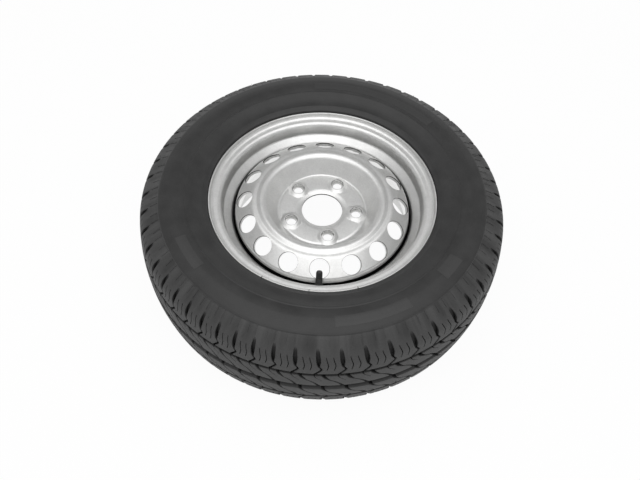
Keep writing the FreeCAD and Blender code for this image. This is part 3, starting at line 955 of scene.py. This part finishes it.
    def whiskers(self) -> list[bpy.types.Object]:
        """Vent whiskers that the mould leaves on the shoulders and sidewalls."""
        draw = random.Random(self.whisker_seed)
        made = []
        for index in range(self.whisker_count):
            side = Side.OUTBOARD if index % 2 else Side.INBOARD
            turn = self.pitches * (index + self.whisker_scatter * draw.random()) / self.whisker_count
            along = self.along(draw.choice(self.whisker_radii))
            length = draw.uniform(*self.whisker_length)
            whisker = self.whisker(self.whisker_ends, length + self.whisker_root)
            table = Bench.places(whisker)
            table[:, 2] += (length - self.whisker_root) / 2
            lean = draw.uniform(-self.whisker_lean, self.whisker_lean)
            table[:, 0] += turn * self.pitch + table[:, 2] * lean
            table[:, 1] += along * side.value
            Bench.put(whisker, self.wrap(table))
            made.append(whisker)
        return made

    def lip_whiskers(self) -> list[bpy.types.Object]:
        """Three vent whiskers that lean from the bead over the rim's lip."""
        radius, height = self.lip_whisker_place
        place = Matrix.Translation(Vector((radius, 0, height)) * MM)
        lean = place @ Matrix.Rotation(math.radians(self.lip_whisker_lean), 4, "Y")
        made = []
        for azimuth in self.lip_whisker_angles:
            whisker = self.whisker(self.lip_whisker_ends, self.lip_whisker_length)
            turn = Matrix.Rotation(math.radians(azimuth), 4, "Z")
            whisker.data.transform(turn @ lean @ Matrix.Scale(MM, 4))
            made.append(whisker)
        return made

    def build(self) -> None:
        """Model one pitch, copy it round the tyre, add what stands alone and dress it."""
        tyre = Bench.join([self.tread(), self.wall(Side.OUTBOARD), self.wall(Side.INBOARD), *self.lines()])
        Bench.pick(tyre)
        round_tyre = tyre.modifiers.new("pitches", "ARRAY")
        round_tyre.count = self.pitches
        round_tyre.use_relative_offset = False
        round_tyre.use_constant_offset = True
        round_tyre.constant_offset_displace = (self.pitch, 0, 0)
        bpy.ops.object.modifier_apply(modifier=round_tyre.name)
        Bench.put(tyre, self.wrap(Bench.places(tyre)))
        Bench.settle(tyre)
        panels = [self.panel(*panel, side) for side in Side for panel in self.panels]
        tyre = Bench.join([tyre, *panels, *self.whiskers(), *self.lip_whiskers()])
        tyre.name = tyre.data.name = "tyre_moulded"
        Bench.finish(tyre, TyreRubber().material(), "wheel", "tyre_rubber", ["tyre"], smooth=32.0)


@dataclass
class Valve:
    """The snap-in valve on the rim's slope: rubber body and ribbed cap."""

    seat_radius: float = 153.94
    seat_height: float = 39.43
    slope: float = 55.0
    azimuth: float = -90.0
    hole: float = 5.65
    hole_reach: Point = (-9.0, 6.0)
    steps: int = 40
    cap_radius: float = 4.9
    cap_wall: float = 0.8
    cap_roof: float = 2.0
    cap_foot: float = 16.1
    cap_top: float = 28.1
    cap_ribs: int = 20
    cap_flute: float = 0.3
    cap_dome: float = 2.8

    def placing(self) -> Matrix:
        """Matrix from the valve's own axis, +Z from the rim's skin, to its place."""
        turn = Matrix.Rotation(math.radians(self.azimuth), 4, "Z")
        seat = Matrix.Translation(Vector((self.seat_radius, 0, self.seat_height)) * MM)
        lean = Matrix.Rotation(math.radians(self.slope - 90), 4, "Y")
        return turn @ seat @ lean

    def body(self) -> bpy.types.Object:
        """Rubber body: head inside the rim, neck, skirt and a waisted shank."""
        section = rounded([
            (3.95, -11.6, 0), (5.9, -11.6, 0.8), (8.5, -2.75, 0.6), (5.5, -2.75, 0), (5.5, 0.15, 0),
            (8.0, 0.15, 0.4), (8.0, 1.2, 0.5), (6.1, 3.8, 2.0), (5.5, 9.0, 4.0), (5.3, 13.0, 2.0),
            (5.0, 15.7, 0.5), (3.95, 15.7, 0)], sweep=15.0)
        body = Bench.lathe("valve_rubber_body", section, self.steps)
        body.data.transform(self.placing())
        return body

    def cap(self) -> bpy.types.Object:
        """Screw cap: a ribbed skirt with a domed top."""
        radius, top = self.cap_radius, self.cap_top
        bore, ceiling = radius - self.cap_wall, top - self.cap_roof
        section = rounded([
            (bore, self.cap_foot, 0), (radius, self.cap_foot, 0.3), (radius, top - 3.0, 0),
            (radius, top - 2.6, 0), (radius - 0.5, top - 2.4, 0.3), (radius - 0.7, top, 1.6), (0, top, 0),
            (0, ceiling, 0), (bore, ceiling, 0)], sweep=20.0)
        # Of every four steps round the cap, two are a rib and two a groove
        steps = 4 * self.cap_ribs
        cap = Bench.lathe("valve_cap_ribbed", section, steps)
        table = Bench.places(cap) / MM
        reach = np.hypot(table[:, 0], table[:, 1])
        step = np.rint(np.arctan2(table[:, 1], table[:, 0]) / math.tau * steps).astype(int)
        groove = (step % 4 >= 2) & (reach > radius - SLACK / 2) & (table[:, 2] < top - self.cap_dome)
        table[groove, :2] *= 1 - self.cap_flute / radius
        Bench.put(cap, table * MM)
        cap.data.transform(self.placing())
        return cap

    def hole_cutter(self) -> bpy.types.Object:
        """Cutter for the valve's hole in the rim."""
        low, high = self.hole_reach
        cutter = Bench.lathe("hole", [(0, low), (self.hole, low), (self.hole, high), (0, high)], self.steps)
        cutter.data.transform(self.placing())
        return cutter

    def build(self) -> None:
        """Make and dress the body and the cap, and coat the pieces inside them."""
        body, cap = self.body(), self.cap()
        Bench.finish(body, VALVE_RUBBER.material(), "wheel", "valve_rubber", ["valve_body"])
        Bench.finish(cap, CAP_PLASTIC.material(), "valve_cap", "cap_plastic", ["valve_cap"], smooth=25.0)
        groups = {
            STEM_BRASS: ("valve_stem", "core_barrel", "core_pin", "core_cup"),
            SEAL_RUBBER: ("core_barrel_seal", "core_cup_seal", "cap_seal"),
            SPRING_WIRE: ("core_spring",),
        }
        for finish, nodes in groups.items():
            material = finish.material()
            for node in nodes:
                Bench.coat(node, material)


@dataclass
class Rim:
    """The rolled rim: curled flanges, bead seats and the well, in smooth bends."""

    sheet: float = 2.6
    edge: float = 0.8
    steps: int = 180
    skin: tuple[Corner, ...] = (
        (182.0, -75.5, 0), (182.0, -63.5, 9.5), (164.7, -63.5, 5.0), (162.08, -33.5, 8.0),
        (148.0, -11.9, 8.0), (148.0, 32.1, 8.0), (162.86, 42.5, 7.0), (164.7, 63.5, 5.0),
        (182.0, 63.5, 9.5), (182.0, 75.5, 0))
    # Radius, and lowest and highest height, of the rim's faces in the crevice behind the disc's bend, which
    # take painted shade
    crevice_radius: float = 146.0
    crevice: Point = (22.0, 32.5)

    def build(self, valve: Valve, paint: bpy.types.Material) -> None:
        """Spin the rolled section, cut the valve's hole and paint the rim with the disc's welds.

        Args:
            valve: The valve that goes through the rim.
            paint: The wheel's paint.
        """
        section = sheet_section(rounded(self.skin), self.sheet, (self.edge, self.edge))
        rim = Bench.lathe("rim_rolled", section, self.steps)
        Bench.work(rim, valve.hole_cutter(), Cut.AWAY)
        # Painted shade: the rim's faces in the crevice behind the disc's bend take the dark colour
        table = Bench.places(rim) / MM
        radius, height = np.hypot(table[:, 0], table[:, 1]), table[:, 2]
        foot, head = self.crevice
        crevice = (radius < self.crevice_radius) & (height > foot) & (height < head)
        Bench.layer(rim, SilverPaint.darkened_layer, crevice)
        Bench.finish(rim, paint, "wheel", "silver_paint", ["rim"], smooth=40.0)
        Bench.coat("disc_welds", paint)


@dataclass
class Disc:
    """The pressed disc: bore, raised stud seats, crest, vented band and flange."""

    sheet: float = 5.0
    edge: float = 0.7
    bore_edge: float = 0.25
    steps: int = 192
    front: float = 35.0
    dip: float = 2.2
    dip_edge: float = 1.0
    # Distance from the bore and height above the front of the points where the dip runs out
    dip_end: tuple[Point, Point] = ((7.5, -0.15), (9.5, 0.0))
    bore: float = 33.25
    skin: tuple[Corner, ...] = (
        (33.25, 35.0, 0), (68.0, 35.0, 2.5), (70.6, 34.1, 2.0), (73.2, 34.3, 4.0), (92.0, 63.0, 11.5),
        (100.0, 63.0, 6.0), (106.0, 60.0, 6.0), (113.0, 60.0, 12.0), (140.5, 42.5, 6.0), (142.28, 35.0, 0),
        (145.25, 22.5, 9.0), (145.25, 2.5, 0))
    # Radius, and lowest and highest height, of the disc's faces in the crevice behind its bend, which take
    # painted shade
    crevice_radius: float = 140.4
    crevice: Point = (20.0, 35.5)
    # Radii of the band's underside, which takes painted light
    underside: Point = (125.0, 141.0)
    # Radius, height and fall of the line between the band's underside and its top
    underside_line: Corner = (128.0, 46.0, 0.6)
    vents_inside: float = 108.0
    vents: int = 16
    vent_start: float = -90.0
    vent_steps: int = 56
    punch_reach: float = 20.0
    vent_radius: float = 15.3
    vent_middle: Point = (126.75, 51.25)
    vent_tilt: float = 32.47
    # Keeps the corners of punch and drill off the edges of what they cut
    tool_turn: float = 1.7
    vent_step: float = 0.45
    vent_step_depth: float = 1.5
    studs: int = 5
    stud_circle: float = 56.0
    stud_start: float = -79.0
    stud_hole: float = 7.5
    stud_steps: int = 40
    drill_reach: Point = (26.0, 42.0)
    seat_foot: float = 33.15
    seat_edge: Point = (9.954, 37.4)
    seat_mouth: float = 10.35

    def blank(self) -> bpy.types.Object:
        """The pressed sheet before its holes, with the dip round the bore."""
        path = rounded(self.skin)
        section = sheet_section(path, -self.sheet, (self.bore_edge, self.edge))
        dished = []
        for radius, height in section:
            if radius < self.bore + self.dip_edge and height > self.front - self.dip_edge:
                height -= self.dip
            dished.append((radius, height))
        near_bore = [radius < self.bore + self.dip_edge for radius, _ in dished]
        mouth = max(range(len(dished)), key=lambda index: (near_bore[index], dished[index][0]))
        run_out = [(self.bore + out, self.front + up) for out, up in self.dip_end]
        section = dished[:mouth + 1] + run_out + dished[mouth + 1:]
        return Bench.lathe("disc_pressed", section, self.steps)

    def at_studs(self, tool: bpy.types.Object, turn: float = 0.0) -> bpy.types.Object:
        """Turn a tool about its own axis and copy it to every stud."""
        place = Matrix.Translation(Vector((self.stud_circle, 0, 0)) * MM)
        tool.data.transform(place @ Matrix.Rotation(math.radians(turn), 4, "Z"))
        return Bench.copies(tool, [self.stud_start + 360 * stud / self.studs for stud in range(self.studs)])

    def collars(self) -> bpy.types.Object:
        """Raised collars round the stud holes."""
        section = rounded([
            (0, 32.0, 0), (17.6, 32.0, 0), (17.6, 34.5, 0), (16.4, 35.1, 1.5), (12.0, 38.0, 1.5),
            (0, 38.0, 0)], sweep=15.0)
        return self.at_studs(Bench.lathe("collars", section, self.stud_steps))

    def drills(self) -> bpy.types.Object:
        """Cutters for the stud holes with their conical seats and the narrow step at the mouth."""
        hole, mouth, step = self.stud_hole, self.seat_mouth, self.seat_edge[1]
        low, high = self.drill_reach
        section = [(0, low), (hole, low), (hole, self.seat_foot), self.seat_edge, (mouth, step),
                   (mouth, high), (0, high)]
        return self.at_studs(Bench.lathe("drills", section, self.stud_steps), self.tool_turn)

    def vent_placing(self) -> Matrix:
        """Matrix from a vent's own axis, +Z out of the band, to its place at angle zero."""
        lean = Matrix.Rotation(math.radians(self.vent_tilt), 4, "Y")
        return Matrix.Translation(Vector((self.vent_middle[0], 0, self.vent_middle[1])) * MM) @ lean

    def punches(self) -> bpy.types.Object:
        """Cutters for the round vents, square to the band, with the punch's narrow step."""
        inner, outer, step = self.vent_radius, self.vent_radius + self.vent_step, -self.vent_step_depth
        reach = self.punch_reach
        section = [(0, -reach), (inner, -reach), (inner, step), (outer, step), (outer, reach), (0, reach)]
        punch = Bench.lathe("punches", section, self.vent_steps)
        punch.data.transform(self.vent_placing() @ Matrix.Rotation(math.radians(self.tool_turn), 4, "Z"))
        return Bench.copies(punch, [self.vent_start + 360 * vent / self.vents for vent in range(self.vents)])

    def build(self, paint: bpy.types.Material) -> None:
        """Press the sheet, raise the collars, cut the holes and paint the disc."""
        disc = self.blank()
        Bench.work(disc, self.punches(), Cut.AWAY)
        Bench.work(disc, self.collars(), Cut.ON)
        Bench.work(disc, self.drills(), Cut.AWAY)
        self.mark(disc)
        Bench.finish(disc, paint, "wheel", "silver_paint", ["disc"], smooth=40.0)

    def mark(self, disc: bpy.types.Object) -> None:
        """Mark, for the finish, the darkened faces (painted shade in the bore and crevice, dark edges at the
        vents and seats), and the lighter bolt seats and band's underside, which carries painted light.
        """
        table = Bench.places(disc) / MM
        radius, height = np.hypot(table[:, 0], table[:, 1]), table[:, 2]
        turn = np.arctan2(table[:, 1], table[:, 0])

        step = math.tau / self.studs
        off = (turn - math.radians(self.stud_start) + step / 2) % step - step / 2
        from_stud = np.hypot(radius * np.cos(off) - self.stud_circle, radius * np.sin(off))
        in_bore = radius < self.bore + SLACK
        edge, step_height = self.seat_edge
        on_cone = (from_stud < edge + SLACK) & (height > self.seat_foot - SLACK)
        seat_rim = (from_stud > edge - SLACK) & (from_stud < self.seat_mouth + SLACK) & (
            height > step_height - SLACK)
        inner, outer = self.underside
        line_radius, line_height, fall = self.underside_line
        below = height < line_height + (line_radius - radius) * fall
        under_band = (radius > inner) & (radius < outer) & below
        gap = math.tau / self.vents
        around = (turn - math.radians(self.vent_start) + gap / 2) % gap - gap / 2
        upright = np.stack([radius * np.cos(around), radius * np.sin(around), height], axis=1)
        back = np.array(self.vent_placing().inverted())
        local = upright @ back[:3, :3].T + back[:3, 3] / MM
        from_vent = np.hypot(local[:, 0], local[:, 1])
        vent_rim = (np.abs(from_vent - self.vent_radius) < self.vent_step + SLACK) & (
            local[:, 2] > -self.vent_step_depth - SLACK) & (radius > self.vents_inside)
        foot, head = self.crevice
        crevice = (radius > self.crevice_radius) & (height > foot) & (height < head)
        # Painted shade on the bore's wall and in the crevice; darkened edges at the vents and the bolt seats'
        # mouths
        Bench.layer(disc, SilverPaint.darkened_layer, in_bore | crevice | vent_rim | seat_rim)
        # Lighter bolt seats, and painted light on the band's underside
        Bench.layer(disc, SilverPaint.lightened_layer, on_cone | under_band)


@dataclass
class Studio:
    """White floor, soft light and the photograph's camera."""

    floor_height: float = -94.6
    floor_size: float = 30.0
    paper: str = "f4f4f4"
    camera_place: Place = (-1.2, -651.9, 881.5)
    camera_right: Place = (0.99902, 0.03637, 0.02532)
    camera_up: Place = (-0.04432, 0.81990, 0.57074)
    lens: float = 36.56
    sensor: float = 36.0
    clip_start: float = 0.05
    horizon: float = 1.0
    sides: float = 0.5
    # Heights of the sky's direction between which the horizon passes into the sides
    gradient: Point = (0.08, 0.5)
    white_share: float = 0.95
    lamp_place: Place = (-0.02, -0.25, 1.4)
    lamp_size: float = 1.9
    lamp_power: float = 15.8

    def floor(self) -> None:
        """Pale floor that keeps the wheel's shadow."""
        floor = Bench.start("studio_floor", bpy.ops.mesh.primitive_plane_add, size=self.floor_size,
                            location=(0, 0, self.floor_height * MM))
        material = bpy.data.materials.new("white paper, matt")
        material.use_nodes = True
        tree = material.node_tree
        tree.nodes.clear()
        paper = add_node(tree, "ShaderNodeBsdfDiffuse", {"Color": srgb(self.paper)})
        glow = add_node(tree, "ShaderNodeEmission", {"Color": (1, 1, 1, 1), "Strength": 1.0})
        rays = add_node(tree, "ShaderNodeLightPath").outputs
        seen = rays["Is Camera Ray"]
        for other in ("Is Glossy Ray", "Is Transmission Ray"):
            seen = add_node(tree, "ShaderNodeMath", {0: seen, 1: rays[other]}, operation="MAXIMUM").outputs[0]
        share = add_node(tree, "ShaderNodeMath", {0: seen, 1: self.white_share}, operation="MULTIPLY")
        mix = add_node(tree, "ShaderNodeMixShader", {
            0: share.outputs[0], 1: paper.outputs[0], 2: glow.outputs[0]})
        add_node(tree, "ShaderNodeOutputMaterial", {"Surface": mix.outputs[0]})
        floor.data.materials.append(material)

    def world(self) -> None:
        """Surroundings that are white at the horizon and grey above it."""
        world = bpy.data.worlds.new("studio")
        bpy.context.scene.world = world
        world.use_nodes = True
        tree = world.node_tree
        tree.nodes.clear()
        place = add_node(tree, "ShaderNodeTexCoord").outputs["Generated"]
        height = add_node(tree, "ShaderNodeSeparateXYZ", {0: place}).outputs["Z"]
        level = add_node(tree, "ShaderNodeMapRange", {
            "Value": height, "From Min": self.gradient[0], "From Max": self.gradient[1],
            "To Min": self.horizon, "To Max": self.sides}, interpolation_type="SMOOTHSTEP")
        sky = add_node(tree, "ShaderNodeBackground", {"Color": (1, 1, 1, 1), "Strength": level.outputs[0]})
        add_node(tree, "ShaderNodeOutputWorld", {"Surface": sky.outputs[0]})

    def lamp(self) -> None:
        """Soft square lamp overhead, aimed at the wheel."""
        light = bpy.data.lights.new("key", "AREA")
        light.size = self.lamp_size
        light.energy = self.lamp_power
        lamp = bpy.data.objects.new("key", light)
        lamp.location = self.lamp_place
        lamp.rotation_euler = (-Vector(self.lamp_place)).to_track_quat("-Z", "Y").to_euler()
        bpy.context.collection.objects.link(lamp)

    def camera(self) -> None:
        """Camera at the photograph's view."""
        data = bpy.data.cameras.new("camera")
        data.lens = self.lens
        data.sensor_width = self.sensor
        data.clip_start = self.clip_start
        camera = bpy.data.objects.new("camera", data)
        right, up = Vector(self.camera_right), Vector(self.camera_up)
        turn = Matrix((right, up, right.cross(up))).transposed().to_4x4()
        camera.matrix_world = Matrix.Translation(Vector(self.camera_place) * MM) @ turn
        bpy.context.collection.objects.link(camera)
        bpy.context.scene.camera = camera

    def build(self) -> None:
        """Set up the floor, the light and the camera."""
        self.floor()
        self.world()
        self.lamp()
        self.camera()
        bpy.context.scene.view_settings.view_transform = "Standard"


def main() -> None:
    """Build and dress the wheel's pieces and the studio."""
    logging.basicConfig(level=logging.INFO, format="%(name)s: %(message)s")
    Tyre().build()
    valve, paint = Valve(), SilverPaint().material()
    Rim().build(valve, paint)
    Disc().build(paint)
    valve.build()
    Studio().build()
    LOG.info("studio set up")


if __name__ == "__main__":
    main()
